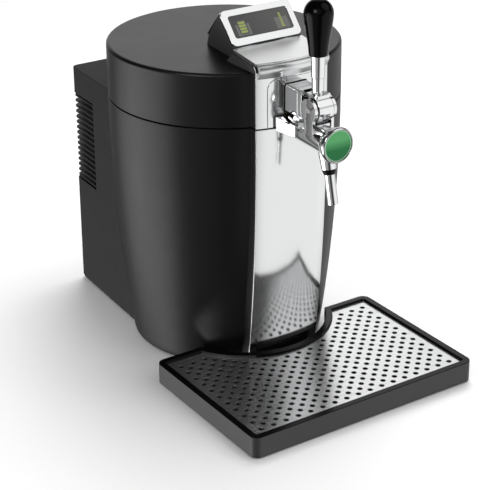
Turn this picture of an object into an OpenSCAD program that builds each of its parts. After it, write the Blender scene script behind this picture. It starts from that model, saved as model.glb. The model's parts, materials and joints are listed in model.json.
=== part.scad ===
// Counter-top beer dispenser for 5 litre kegs: a cooled keg well in a barrel-shaped body, a lid that
// carries the display and the tap, a rear box with the cooler, and a drip tray in front.
// Millimetres, +Z up, front towards -Y, the origin under the middle of the whole machine.

/* [Keg and cold well] */
// Diameter of the keg that the well takes
keg_d = 172; // [150:1:190]
// Height of the keg
keg_h = 250; // [200:1:280]
// Room between the keg and the well, on the radius
keg_gap = 2; // [1:0.5:5]
// Room over the keg for its valve and coupler
head_room = 18; // [16:1:40]
// Wall of the drawn aluminium well
well_wall = 1.5; // [1:0.1:3]
// Insulation between the well and the shell at the top
foam_t = 44.5; // [35:0.5:60]
// Insulation under the well
foam_floor = 30.5; // [20:0.5:45]

/* [Body] */
// Depth of the whole machine, tray to rear box
total_d = 500; // [480:1:620]
// Wall of the moulded shells
shell_wall = 3; // [2:0.5:4]
// Radius of the curve that the side follows from the seam to the foot
side_curve_r = 2120; // [1700:10:4000]
// Height of the rubber feet
foot_h = 3; // [2:0.5:6]
// Thickness of the base plate
base_t = 3; // [2:0.5:5]
// Gap between body and lid
seam_gap = 1.5; // [1:0.1:3]
// Height of the lid over the seam
lid_h = 62.5; // [60:0.5:75]
// Radius of the lid's top edge
lid_edge_r = 4; // [2:0.5:6]

/* [Front spine] */
// Half the width of the raised spine
spine_hw = 48; // [40:1:56]
// How far the spine stands out of the body at the seam
spine_proud = 9; // [6:0.5:14]
// How far it stands out at the foot
spine_proud_foot = 13; // [9:0.5:18]
// Thickness of the polished plates
plate_t = 2; // [1.5:0.1:3]

/* [Rear box] */
// How far the box reaches behind the body
rear_reach = 75.5; // [70:0.5:110]
// Half the width of the box at its back
rear_hw = 92; // [80:1:100]
// Draft of the box's sides, in degrees
rear_draft = 3.05; // [0:0.05:5]
// How far the box's top lies below the seam of body and lid
rear_drop = 12; // [-24:1:26]
// Radius of the box's rear corners
rear_corner_r = 8; // [5:1:15]
// How far the louvre band starts below the box's top
louvre_drop = 33.8; // [18.8:1:58.8]
// Number of louvre slats
louvre_n = 16; // [10:1:18]
// Distance from slat to slat
louvre_pitch = 7.2; // [5:0.1:8]
// Thickness of a slat
slat_t = 2.2; // [1.5:0.1:3]
// Depth of a slat
slat_d = 11; // [8:0.5:14]
// How far the louvre band wraps round the side
louvre_wrap = 58; // [30:1:64]

/* [Display head] */
// How far each side of the display head stands in from the spine's side
head_inset = 1.5; // [1.3:0.1:4]
// Depth of the display bezel along its slope
bezel_d = 44; // [38:0.5:46]
// Slope of the bezel, in degrees
bezel_tilt = 48.7; // [40:0.1:50]
// Width of the frame on each side of the display window
window_border = 7.5; // [6.5:0.5:14]
// Depth of the window along the slope
window_d = 27.5; // [20:0.5:30]

/* [Tap] */
// Reach of the tap's end cap in front of the spine
tap_reach = 79; // [75:1:100]
// Radius of the tap's barrel at its front
barrel_r = 16; // [15:0.5:18]
// Radius of the end cap
cap_r = 20.5; // [19:0.5:24]
// Half the width of the tap's arm
arm_hw = 15; // [13:0.5:17]
// Height of the tap's arm
arm_h = 30; // [28:0.5:34]
// Radius of the lever's hub
hub_r = 14.8; // [13:0.1:15.5]
// Half the width of the hub
hub_hw = 9.5; // [8:0.5:10]
// Radius of the lever's axle
axle_r = 3; // [2:0.1:4]
// Forward lean of the spout, in degrees
spout_tilt = 12.5; // [5:0.5:20]
// Outer radius of the spout's nozzle
nozzle_r = 5.9; // [5.3:0.1:7]
// Bore radius of the nozzle
nozzle_bore_r = 4.2; // [4:0.1:4.6]
// Length of the nozzle below its collar
nozzle_l = 34; // [20:1:60]
// Outer radius of the beer tube
tube_r = 3.5; // [3:0.1:3.6]
// Bore radius of the beer tube
tube_bore_r = 2.2; // [1.5:0.1:2.5]
// Bend radius of the beer tube
tube_bend_r = 28; // [26:1:32]

/* [Lever] */
// Height of the knob
knob_h = 63; // [50:1:80]
// Largest radius of the knob
knob_r = 16.3; // [13:0.1:19]
// Radius of the knob at its foot
knob_foot_r = 10.4; // [9.5:0.1:12]
// Length of the shaft between hub and knob
shaft_l = 42; // [30:1:60]

/* [Drip tray] */
// Width of the drip tray
tray_w = 304; // [270:1:340]
// How far in front of the keg's axis the tray's back edge lies
tray_back = 82.5; // [70:0.5:90]
// Height of the tray's rim
tray_h = 26.5; // [22:0.5:35]
// Width of the rim
rim_w = 8; // [6:0.5:12]
// Radius of the tray's corners
tray_corner_r = 10; // [6:1:14]
// Gap between the tray and the foot of the spine
tray_gap = 7.5; // [4:0.5:15]
// Gap between the tray's back corners and the body's side
horn_gap = 4.2; // [3:0.1:10]
// Distance between holes in a row of the drip plate
hole_pitch = 16.4; // [12:0.1:24]
// Diameter of the holes
hole_d = 5.2; // [3:0.1:7]

/* [Fits] */
// Running clearance on the radius of pins and axles
fit = 0.05; // [0.02:0.01:0.1]
// Room between pieces that move past each other
move_gap = 0.5; // [0.3:0.1:1]

/* [Hidden] */
$fn = 72;
// A margin that makes a cut run past a face
over = 1;
// How far a tube's straight stretches run into its bend, which is a hair wider
lap = 0.5;
bend_swell = 0.03;

// Heights of the body
base_z = foot_h + base_t;
well_floor_z = base_z + foam_floor + well_wall;
seam_z = well_floor_z + keg_h + head_room;
lid_z = seam_z + seam_gap;
rear_h = seam_z - rear_drop;
lid_top_z = lid_z + lid_h;
deck_t = 6;

// Radii of the body, all about the keg's axis
well_r = keg_d / 2 + keg_gap;
well_or = well_r + well_wall;
body_r = well_or + foam_t + shell_wall;
spine_r = body_r + spine_proud;
axis_y = total_d / 2 - rear_reach - body_r;

// The side's radius at a height, and the spine's radius at a height
function side_r(z) = body_r - (side_curve_r - sqrt(pow(side_curve_r, 2) - pow(max(0, seam_z - z), 2)));
function spine_at(z) = side_r(z) + spine_proud
    + (spine_proud_foot - spine_proud) * max(0, seam_z - z) / seam_z;
// Where a circle of this radius about the keg's axis lies at a distance from the middle
function front_y(r, x = 0) = axis_y - sqrt(r * r - x * x);

function arc(cx, cy, r, a0, a1, n = 8) =
    [for (i = [0:n]) let (a = a0 + (a1 - a0) * i / n) [cx + r * cos(a), cy + r * sin(a)]];
// A rectangle with rounded corners, given by its low and high corners
function round_box(x0, y0, x1, y1, r, n = 8) = concat(
    arc(x1 - r, y0 + r, r, -90, 0, n), arc(x1 - r, y1 - r, r, 0, 90, n),
    arc(x0 + r, y1 - r, r, 90, 180, n), arc(x0 + r, y0 + r, r, 180, 270, n));
// An upright shape with two round top corners
function arch(hw, z0, z1, r, n = 8) = concat(
    [[-hw, z0], [hw, z0]], arc(hw - r, z1 - r, r, 0, 90, n), arc(-hw + r, z1 - r, r, 90, 180, n));

// Outlines in X and Z drawn out along Y, in Y and Z along X, and slabs in plan
module along_y(points, y0, y1) translate([0, y1, 0]) rotate([90, 0, 0])
    linear_extrude(y1 - y0) polygon(points);
module along_x(points, x0, x1) translate([x0, 0, 0]) rotate([90, 0, 90])
    linear_extrude(x1 - x0) polygon(points);
module slab(points, z0, z1) translate([0, 0, z0]) linear_extrude(z1 - z0) polygon(points);
module block(x0, y0, z0, x1, y1, z1) translate([x0, y0, z0]) cube([x1 - x0, y1 - y0, z1 - z0]);
module rod_x(y, z, r, x0, x1) translate([x0, y, z]) rotate([0, 90, 0]) cylinder(r = r, h = x1 - x0);
module rod_y(x, z, r, y0, y1) translate([x, y1, z]) rotate([90, 0, 0]) cylinder(r = r, h = y1 - y0);
module mirrored_x() {
    children();
    mirror([1, 0, 0]) children();
}

// A solid of revolution about the keg's axis
module keg_turned(points) translate([0, axis_y, 0]) rotate_extrude() polygon(points);
// The heights at which the side's curve is drawn, the same for all that follows it
side_steps = 12;
side_heights = concat([-over], [for (i = [0:side_steps]) base_z + (seam_z - base_z) * i / side_steps],
    [2 * lid_top_z]);
module barrel_solid(z0, z1, inset = 0) intersection() {
    keg_turned(concat([[0, -over]], [for (z = side_heights) [side_r(z) - inset, z]],
        [[0, 2 * lid_top_z]]));
    translate([0, axis_y, z0]) cylinder(r = 2 * body_r, h = z1 - z0);
}
// How far the spine's solid runs back into the body
spine_root = 25;
// The spine's solid between two heights, to a depth under its front face
module spine_solid(z0, z1, inset, hw) intersection() {
    keg_turned(concat([[0, -over]], [for (z = side_heights) [spine_at(z) - inset, z]],
        [[0, 2 * lid_top_z]]));
    block(-hw, axis_y - 2 * body_r, z0, hw, front_y(body_r, spine_hw) + spine_root, z1);
}

// ---------------------------------------------------------------- body
// The cooler sits behind a window in the shell, at the height of the louvre band
louvre_h = louvre_n * louvre_pitch;
louvre_z = rear_h - louvre_drop - louvre_h;
cool_z = louvre_z + louvre_h / 2;
cold_hw = 32;
cold_hh = 40;
cold_back_y = axis_y + side_r(cool_z) + 3;
module cold_window() block(-cold_hw, axis_y, cool_z - cold_hh,
    cold_hw, axis_y + 2 * body_r, cool_z + cold_hh);

module body_shell() color([0.16, 0.16, 0.17]) difference() {
    union() {
        barrel_solid(base_z, seam_z);
        spine_solid(base_z, seam_z, plate_t, spine_hw);
    }
    barrel_solid(base_z - over, seam_z + over, shell_wall);
    cold_window();
}

flange_r = well_or + 7;
deck_slope_r = flange_r + 14;
deck_r = side_r(seam_z - deck_t) - shell_wall - 0.1;
module top_deck() color([0.20, 0.20, 0.21]) keg_turned([
    [well_r, seam_z - deck_t], [deck_r, seam_z - deck_t],
    [deck_r, seam_z], [deck_slope_r, seam_z], [well_r, seam_z - deck_t + 1.5]]);

module keg_well() color([0.78, 0.79, 0.80]) keg_turned([
    [0, well_floor_z - well_wall], [well_or, well_floor_z - well_wall],
    [well_or, seam_z - deck_t - well_wall], [flange_r, seam_z - deck_t - well_wall],
    [flange_r, seam_z - deck_t], [well_r, seam_z - deck_t], [well_r, well_floor_z],
    [0, well_floor_z]]);

foam_top_z = seam_z - deck_t - well_wall;
module well_insulation() color([0.93, 0.90, 0.80]) difference() {
    barrel_solid(base_z, foam_top_z, shell_wall);
    translate([0, axis_y, well_floor_z - well_wall]) cylinder(r = well_or, h = seam_z);
    cold_window();
}

panel_z = tray_h * 0.5;
module front_panel() color([0.82, 0.83, 0.84]) difference() {
    spine_solid(panel_z, seam_z, 0, spine_hw);
    spine_solid(panel_z - over, seam_z + over, plate_t, spine_hw + over);
}

// ---------------------------------------------------------------- rear box
back_y = total_d / 2;
// Half the box's width at a place along Y, and its outline drawn in by an inset
function rear_hw_at(y) = rear_hw + (back_y - y) * tan(rear_draft);
box_front_y = axis_y + 40;
function corner_c(inset) = let (r = rear_corner_r - inset, y = back_y - inset - r)
    [rear_hw_at(y) - inset / cos(rear_draft) - r / cos(rear_draft), y];
function rear_half(inset) = let (r = rear_corner_r - inset, c = corner_c(inset))
    concat([[rear_hw_at(box_front_y) - inset / cos(rear_draft), box_front_y]],
        r > 0.2 ? arc(c[0], c[1], r, rear_draft, 90) : [[c[0] + r, back_y - inset]]);
function rear_outline(inset) = let (h = rear_half(inset), n = len(h))
    concat(h, [for (i = [1:n]) [-h[n - i][0], h[n - i][1]]]);
function rear_core(inset) = let (y1 = back_y - inset, x0 = rear_hw_at(box_front_y) - inset,
    x1 = rear_hw_at(y1) - inset)
    [[x0, box_front_y], [x1, y1], [-x1, y1], [-x0, box_front_y]];

module base_plate() color([0.09, 0.09, 0.09]) union() {
    translate([0, axis_y, foot_h]) cylinder(r = side_r(base_z) - 1, h = base_t);
    slab(rear_outline(1), foot_h, base_z);
}

foot_spots = [[-68, axis_y - 70], [68, axis_y - 70], [-70, back_y - 25], [70, back_y - 25]];
foot_r = 9;
module rubber_feet() color([0.05, 0.05, 0.05]) for (p = foot_spots)
    translate([p[0], p[1], 0]) cylinder(r = foot_r, h = foot_h);

base_screw_r = 3.5;
base_screw_h = 1.6;
hex_r = 1.4;
base_screw_spots = [[0, axis_y - 88], [-78, axis_y + 20], [78, axis_y + 20], [0, back_y - 22]];
module base_screws() color([0.70, 0.70, 0.72]) for (p = base_screw_spots)
    translate([p[0], p[1], foot_h - base_screw_h]) difference() {
        cylinder(r = base_screw_r, h = base_screw_h);
        translate([0, 0, -over]) cylinder(r = hex_r, h = 1 + over, $fn = 6);
    }

// Places of what is let into the box's back
screw_r = 3.2;
screw_sink = 1.6;
rear_screw_spots = [[-78, 30], [78, 30], [-78, louvre_z - 35], [78, louvre_z - 35], [0, rear_h - 19]];
inlet_x = -50;
inlet_z = 62;
inlet_hw = 14;
inlet_hh = 10;
switch_x = 46;
switch_z = 62;
switch_hw = 10.5;
switch_hh = 14;
louvre_y = back_y - louvre_wrap;
louvre_top_z = louvre_z + louvre_h;

module rear_housing() color([0.15, 0.15, 0.16]) difference() {
    slab(rear_outline(0), base_z, rear_h);
    slab(rear_core(shell_wall), base_z - over, rear_h - shell_wall);
    barrel_solid(base_z - over, seam_z + over);
    block(-2 * rear_hw, louvre_y, louvre_z, 2 * rear_hw, back_y + over, louvre_top_z);
    block(inlet_x - inlet_hw, back_y - 2 * shell_wall, inlet_z - inlet_hh,
        inlet_x + inlet_hw, back_y + over, inlet_z + inlet_hh);
    block(switch_x - switch_hw, back_y - 2 * shell_wall, switch_z - switch_hh,
        switch_x + switch_hw, back_y + over, switch_z + switch_hh);
    for (p = rear_screw_spots) rod_y(p[0], p[1], screw_r + 0.1, back_y - screw_sink, back_y + over);
}

slat_inset = 0.8;
rib_w = 3;
rib_x = [-66, -34, 0, 34, 66];
module slat_ring(z0, z1, inset0, inset1) intersection() {
    difference() {
        slab(rear_outline(inset0), z0, z1);
        slab(rear_core(inset1), z0 - over, z1 + over);
    }
    block(-2 * rear_hw, louvre_y, z0, 2 * rear_hw, back_y, z1);
}
module louvre_grille() color([0.10, 0.10, 0.10]) union() {
    for (i = [0:louvre_n - 1])
        let (z = louvre_z + (i + 0.5) * louvre_pitch - slat_t / 2)
            slat_ring(z, z + slat_t, slat_inset, slat_d);
    for (x = rib_x)
        block(x - rib_w / 2, back_y - slat_d, louvre_z, x + rib_w / 2, back_y - slat_d + rib_w,
            louvre_top_z);
    mirrored_x() block(rear_hw_at(louvre_y) - slat_d - 1, louvre_y, louvre_z,
        rear_hw_at(louvre_y) - shell_wall - 0.6, louvre_y + rib_w, louvre_top_z);
}

module rear_screws() color([0.12, 0.12, 0.12]) for (p = rear_screw_spots)
    translate([p[0], back_y - screw_sink, p[1]]) rotate([-90, 0, 0]) difference() {
        cylinder(r = screw_r, h = screw_sink - 0.3);
        translate([0, 0, 0.4]) cylinder(r = 1.3, h = screw_sink, $fn = 6);
    }

// ---------------------------------------------------------------- cooler
module cold_block() color([0.72, 0.73, 0.75]) difference() {
    block(-cold_hw, axis_y, cool_z - cold_hh, cold_hw, cold_back_y, cool_z + cold_hh);
    translate([0, axis_y, 0]) cylinder(r = well_or, h = 2 * seam_z);
}
peltier_t = 4;
peltier_hw = 20;
module peltier_module() color([0.90, 0.90, 0.86]) block(-peltier_hw, cold_back_y, cool_z - peltier_hw,
    peltier_hw, cold_back_y + peltier_t, cool_z + peltier_hw);
sink_y = cold_back_y + peltier_t;
sink_base_t = 5;
sink_fin_l = 20;
sink_hw = 45;
fin_n = 15;
fin_t = 1.6;
module heat_sink() color([0.60, 0.61, 0.63]) union() {
    block(-sink_hw, sink_y, cool_z - sink_hw, sink_hw, sink_y + sink_base_t, cool_z + sink_hw);
    for (i = [0:fin_n - 1])
        let (x = -sink_hw + i * (2 * sink_hw - fin_t) / (fin_n - 1))
            block(x, sink_y + sink_base_t - over, cool_z - sink_hw,
                x + fin_t, sink_y + sink_base_t + sink_fin_l, cool_z + sink_hw);
}
fan_y = sink_y + sink_base_t + sink_fin_l;
fan_t = 25;
fan_hw = 40;
fan_bore_r = 38;
fan_shaft_r = 1.5;
rotor_hub_r = 14;
module fan_frame() color([0.08, 0.08, 0.08]) union() {
    difference() {
        block(-fan_hw, fan_y, cool_z - fan_hw, fan_hw, fan_y + fan_t, cool_z + fan_hw);
        rod_y(0, cool_z, fan_bore_r, fan_y - over, fan_y + fan_t + over);
    }
    difference() {
        union() {
            rod_y(0, cool_z, rotor_hub_r + 1, fan_y + fan_t - 3, fan_y + fan_t);
            for (a = [45, 135])
                translate([0, fan_y + fan_t - 2, cool_z]) rotate([0, a, 0])
                    translate([-fan_bore_r - 1, 0, -1.5]) cube([2 * fan_bore_r + 2, 2, 3]);
        }
        rod_y(0, cool_z, fan_shaft_r + fit, fan_y, fan_y + fan_t + over);
    }
}
blade_n = 7;
module fan_rotor() color([0.12, 0.12, 0.13]) union() {
    rod_y(0, cool_z, rotor_hub_r, fan_y + 2, fan_y + fan_t - 4);
    rod_y(0, cool_z, fan_shaft_r, fan_y + 4, fan_y + fan_t);
    for (i = [0:blade_n - 1])
        translate([0, fan_y + fan_t / 2 - 1, cool_z]) rotate([0, i * 360 / blade_n, 0])
            translate([rotor_hub_r - 2, 0, 0]) rotate([35, 0, 0])
                translate([0, -8, -0.8]) cube([fan_bore_r - rotor_hub_r, 16, 1.6]);
}

board_y = back_y - 50;
board_hw = 60;
board_h = 70;
board_t = 1.6;
capacitor_r = 6;
capacitor_l = 20;
capacitor_x = [-8, 8, 24];
module control_board() color([0.10, 0.35, 0.20]) union() {
    block(-board_hw, board_y, base_z, board_hw, board_y + board_t, base_z + board_h);
    // The transformer, the capacitors and the connector strip
    block(-50, board_y + board_t, base_z + 12, -22, board_y + 22, base_z + 36);
    for (x = capacitor_x)
        translate([x, board_y + board_t, base_z + 24]) rotate([-90, 0, 0])
            cylinder(r = capacitor_r, h = capacitor_l);
    block(-10, board_y + board_t, base_z + 44, 30, board_y + 8, base_z + 62);
}

// ---------------------------------------------------------------- inlet and switch
inlet_d = 24;
socket_hw = 12;
socket_hh = 8.2;
socket_d = 17;
flush = 0.5;
module mains_inlet() color([0.06, 0.06, 0.06]) difference() {
    block(inlet_x - inlet_hw, back_y - flush - inlet_d, inlet_z - inlet_hh,
        inlet_x + inlet_hw, back_y - flush, inlet_z + inlet_hh);
    along_y([for (p = round_box(-socket_hw, -socket_hh, socket_hw, socket_hh, 3))
        [p[0] + inlet_x, p[1] + inlet_z]], back_y - flush - socket_d, back_y + over);
}
module inlet_pins() color([0.80, 0.74, 0.50]) for (i = [-1:1])
    block(inlet_x + 7 * i - 1, back_y - flush - socket_d, inlet_z - 2 - (i == 0 ? 1.5 : 0),
        inlet_x + 7 * i + 1, back_y - 3, inlet_z + 2 - (i == 0 ? 1.5 : 0));

rocker_hw = 6.5;
rocker_hh = 8.6;
rocker_lift = 2.4;
rocker_y = back_y - 4;
trunnion_r = 1.2;
module switch_frame() color([0.05, 0.05, 0.05]) difference() {
    block(switch_x - switch_hw, back_y - 16, switch_z - switch_hh,
        switch_x + switch_hw, back_y - flush, switch_z + switch_hh);
    block(switch_x - rocker_hw - move_gap, back_y - 12, switch_z - rocker_hh - 1.4,
        switch_x + rocker_hw + move_gap, back_y + over, switch_z + rocker_hh + 1.4);
    rod_x(rocker_y - 1, switch_z, trunnion_r + fit, switch_x - switch_hw + 1,
        switch_x + switch_hw - 1);
}
module power_rocker() color([0.35, 0.04, 0.04]) union() {
    along_x([[rocker_y - 5, switch_z - 7], [rocker_y, switch_z - rocker_hh],
        [rocker_y, switch_z], [rocker_y + rocker_lift, switch_z + rocker_hh],
        [rocker_y - 5, switch_z + 7]], switch_x - rocker_hw, switch_x + rocker_hw);
    rod_x(rocker_y - 1, switch_z, trunnion_r, switch_x - rocker_hw - 2, switch_x + rocker_hw + 2);
}

// ---------------------------------------------------------------- hinge
hinge_y = axis_y + body_r + 9.5;
hinge_z = lid_z - 4;
knuckle_r = 6;
hinge_pin_r = 3;
knuckle_hw = 20;
lug_hw = 36;
// Half the thickness of the webs under the knuckles, and the bracket's foot
web_ht = 5;
hinge_foot_t = 2.5;
lug_t = 4;
module hinge_bracket() color([0.12, 0.12, 0.13]) difference() {
    union() {
        rod_x(hinge_y, hinge_z, knuckle_r, -knuckle_hw, knuckle_hw);
        block(-knuckle_hw, hinge_y - web_ht, rear_h, knuckle_hw, hinge_y + web_ht, hinge_z);
        block(-knuckle_hw, hinge_y - 8, rear_h, knuckle_hw, hinge_y + 14, rear_h + hinge_foot_t);
    }
    rod_x(hinge_y, hinge_z, hinge_pin_r, -knuckle_hw - over, knuckle_hw + over);
}
module hinge_pin() color([0.75, 0.75, 0.77])
    rod_x(hinge_y, hinge_z, hinge_pin_r, -lug_hw, lug_hw);
module lid_lug() difference() {
    union() {
        rod_x(hinge_y, hinge_z, knuckle_r, knuckle_hw + move_gap, lug_hw);
        block(knuckle_hw + move_gap, axis_y + body_r - 6, lid_z, lug_hw, hinge_y, lid_z + lug_t);
        block(knuckle_hw + move_gap, hinge_y - web_ht, hinge_z, lug_hw, hinge_y + web_ht,
            lid_z + lug_t);
    }
    rod_x(hinge_y, hinge_z, hinge_pin_r + fit, knuckle_hw, lug_hw + over);
}

// ---------------------------------------------------------------- lid
lid_in_r = body_r - shell_wall;
liner_z = lid_z + 14.5;
liner_t = 2.5;
tap_z = seam_z - 0.6;
arm_z = seam_z + 20;
arm_top_z = arm_z + arm_h;
shield_hw = 35.4;
shield_top_z = arm_top_z + 7.2;
pocket_hw = arm_hw + 16;
gap_line = 0.3;

module lid_shell() color([0.17, 0.17, 0.18]) union() {
    difference() {
        union() {
            keg_turned(concat([[0, lid_z], [body_r, lid_z]],
                arc(body_r - lid_edge_r, lid_top_z - lid_edge_r, lid_edge_r, 0, 90, 6),
                [[0, lid_top_z]]));
            spine_solid(lid_z, lid_top_z, plate_t, spine_hw);
        }
        keg_turned([[0, lid_z - over], [lid_in_r, lid_z - over],
            [lid_in_r, lid_top_z - shell_wall], [0, lid_top_z - shell_wall]]);
        block(-pocket_hw, front_y(spine_r) - over, lid_z - over, pocket_hw, axis_y - 100,
            shield_top_z - 3);
    }
    mirrored_x() difference() {
        lid_lug();
        translate([0, axis_y, 0]) cylinder(r = lid_in_r + 1, h = 2 * lid_z);
    }
}

liner_ring_r = lid_in_r - 3;
module lid_liner() color([0.72, 0.72, 0.70]) difference() {
    keg_turned([[0, liner_z], [liner_ring_r - liner_t, liner_z], [liner_ring_r - liner_t, lid_z],
        [lid_in_r, lid_z], [lid_in_r, lid_z + 2], [liner_ring_r, lid_z + 2],
        [liner_ring_r, liner_z + liner_t], [0, liner_z + liner_t]]);
    block(-6, front_y(lid_in_r) - over, lid_z - over, 6, front_y(liner_ring_r) + 8,
        tube_z + tube_r + 1.5);
}
module lid_insulation() color([0.93, 0.90, 0.80]) translate([0, axis_y, liner_z + liner_t])
    cylinder(r = liner_ring_r, h = lid_top_z - shell_wall - liner_z - liner_t);

seal_t = seam_gap - 0.3;
module lid_seal() color([0.08, 0.08, 0.08]) difference() {
    keg_turned([[liner_ring_r - liner_t + 0.5, lid_z - seal_t], [lid_in_r - 0.5, lid_z - seal_t],
        [lid_in_r - 0.5, lid_z], [liner_ring_r - liner_t + 0.5, lid_z]]);
    block(-pocket_hw, axis_y - 2 * body_r, 0, pocket_hw, axis_y - 100, 2 * lid_z);
}

// The polished plate on the lid's spine, less the shield round the tap
fascia_top_z = lid_top_z + 2.5;
module spine_plate(z0, z1, hw) difference() {
    spine_solid(z0, z1, 0, hw);
    spine_solid(z0 - over, z1 + over, plate_t, hw + over);
}
// The trim that runs back from the plate's corner along the foot of the head
trim_w = 1.2;
trim_y = front_y(spine_r, spine_hw);
shoulder_line = concat([[trim_y + 45, lid_top_z + 14.5]],
    [[trim_y + 8, lid_top_z + 10.5], [trim_y + 3.5, lid_top_z + 8.6],
    [trim_y + 1, lid_top_z + 5.4], [trim_y, fascia_top_z - 0.5]]);
function lowered(points, dy, dz) = [for (p = points) [p[0] + dy, p[1] - dz]];
function reversed(points) = [for (i = [1:len(points)]) points[len(points) - i]];
module lid_fascia() color([0.80, 0.81, 0.82]) union() {
    difference() {
        spine_plate(lid_z, fascia_top_z, spine_hw);
        along_y(arch(shield_hw, lid_z - over, shield_top_z, 12), axis_y - 2 * body_r, axis_y);
    }
    mirrored_x() along_x(concat(shoulder_line, [[trim_y, lid_top_z - 2],
        [trim_y + plate_t, lid_top_z - 2]], reversed(lowered(shoulder_line, plate_t, 1.6))),
        spine_hw - trim_w, spine_hw);
}

saddle_hw = 27.5;
saddle_front_hw = 17;
saddle_top_z = seam_z + 14.3;
module tap_shield() color([0.76, 0.77, 0.78]) difference() {
    intersection() {
        spine_plate(lid_z, fascia_top_z, shield_hw - gap_line);
        along_y(arch(shield_hw - gap_line, lid_z, shield_top_z - gap_line, 12), axis_y - 2 * body_r,
            axis_y);
    }
    block(-saddle_hw - 1, axis_y - 2 * body_r, 0, saddle_hw + 1, axis_y, saddle_top_z + 1);
    along_y(arch(arm_hw + 1, saddle_top_z, arm_top_z + 1, 5), axis_y - 2 * body_r, axis_y);
}

// ---------------------------------------------------------------- display head
head_hw = spine_hw - head_inset;
window_w = 2 * (head_hw - window_border);
// The bezel's plane runs from its foot up and back
bezel_foot_y = trim_y + 45.5;
bezel_foot_z = lid_top_z + 20;
bezel_top_y = bezel_foot_y + bezel_d * cos(bezel_tilt);
bezel_t = 3;
label_back_r = spine_r - 52;
label_z = lid_top_z + 12;
label_rise = 6;
nose_r = spine_r + 5;
// Lays children on the bezel's plane: X across, Y up the slope, Z out of the plane
module on_bezel() translate([0, bezel_foot_y, bezel_foot_z]) rotate([bezel_tilt, 0, 0]) children();

// The label plate and the rounded nose, turned about the keg's axis like the spine
nose_ball_r = 7;
nose_in_r = 6;
nose_x = nose_r - nose_ball_r;
nose_z = label_z - nose_ball_r - 0.2;
label_t = 2.6;
nose_profile = concat([[label_back_r, label_z + label_rise], [nose_x - 0.9, label_z],
    [nose_x - 0.3, label_z - 1]],
    arc(nose_x, nose_z, nose_ball_r, 82, -32, 8),
    [[spine_r + 0.6, lid_top_z - 5], [spine_r - 1.4, lid_top_z - 5]],
    arc(nose_x - 2.5, nose_z, nose_in_r, -20, 60, 5),
    [[nose_x - 1, label_z - label_t], [label_back_r, label_z + label_rise - label_t]]);
// The cover's underside at a radius, and how far the core reaches under it
pad_r = nose_x - 4;
function label_under(r) = label_z - label_t - 0.1
    + (nose_x - 1 - r) * label_rise / (nose_x - 1 - label_back_r);

// The head's foot: half its width at the edge of the sloping back, under that and in front, how
// far behind the bezel these lie, and the height of the back's edge
back_edge_hw = head_hw - 14;
back_foot_hw = head_hw - 15.5;
front_foot_hw = head_hw - 8.5;
back_edge_y = bezel_top_y + 44;
back_foot_y = bezel_top_y + 50;
back_edge_z = lid_top_z + 13;
core_inset = 1.2;
module thin_bar(hw, y, z) translate([-hw, y - 0.5, z - 0.5]) cube([2 * hw, 1, 1]);
module head_core() color([0.10, 0.10, 0.11]) difference() {
    union() {
        hull() {
            on_bezel() translate([-head_hw + core_inset, 0.5, -bezel_t - 2])
                cube([2 * (head_hw - core_inset), bezel_d - 2, 2]);
            thin_bar(back_edge_hw, back_edge_y, back_edge_z);
            thin_bar(back_foot_hw, back_foot_y, lid_top_z + 0.5);
            thin_bar(front_foot_hw, bezel_foot_y - 4, lid_top_z + 0.5);
        }
        intersection() {
            keg_turned([[label_back_r, lid_top_z], [pad_r, lid_top_z], [pad_r, label_under(pad_r)],
                [label_back_r, label_under(label_back_r)]]);
            block(-head_hw + core_inset, axis_y - 2 * body_r, 0, head_hw - core_inset,
                bezel_foot_y + 1.5, 2 * lid_top_z);
        }
        along_x(concat(reversed(lowered(shoulder_line, plate_t, 1.6)),
            [[trim_y + 60, lid_top_z], [trim_y + plate_t, lid_top_z]]),
            -spine_hw + trim_w, spine_hw - trim_w);
    }
    on_bezel() translate([-window_w / 2 - 2, (bezel_d - window_d) / 2 - 2, -bezel_t - 12])
        cube([window_w + 4, window_d + 4, 12.1]);
}

module head_cover() color([0.84, 0.85, 0.86]) difference() {
    intersection() {
        keg_turned(nose_profile);
        block(-head_hw, axis_y - 2 * body_r, lid_top_z - 8, head_hw, bezel_foot_y + 1.5,
            bezel_foot_z);
    }
    spine_solid(lid_top_z - 9, fascia_top_z, 0, 2 * spine_hw);
}

// The sloping back of the head, a plate on the core that narrows downwards
back_top = [bezel_foot_y + (bezel_d - 1.5) * cos(bezel_tilt) + bezel_t * sin(bezel_tilt),
    bezel_foot_z + (bezel_d - 1.5) * sin(bezel_tilt) - bezel_t * cos(bezel_tilt)];
back_low = [back_edge_y + 0.5, back_edge_z + 0.5];
back_run = back_low - back_top;
back_out = [-back_run[1], back_run[0]] / norm(back_run);
back_t = 1.6;
module head_back() color([0.62, 0.63, 0.64]) intersection() {
    along_x([back_top + 0.1 * back_out + 0.03 * back_run, back_low + 0.1 * back_out,
        back_low + back_t * back_out, back_top + back_t * back_out + 0.03 * back_run],
        -head_hw, head_hw);
    slab([[-head_hw + 1.5, back_top[0]], [head_hw - 1.5, back_top[0]],
        [back_edge_hw + 1, back_low[0] + 3], [-back_edge_hw - 1, back_low[0] + 3]],
        lid_top_z, 2 * lid_top_z);
}

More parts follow.
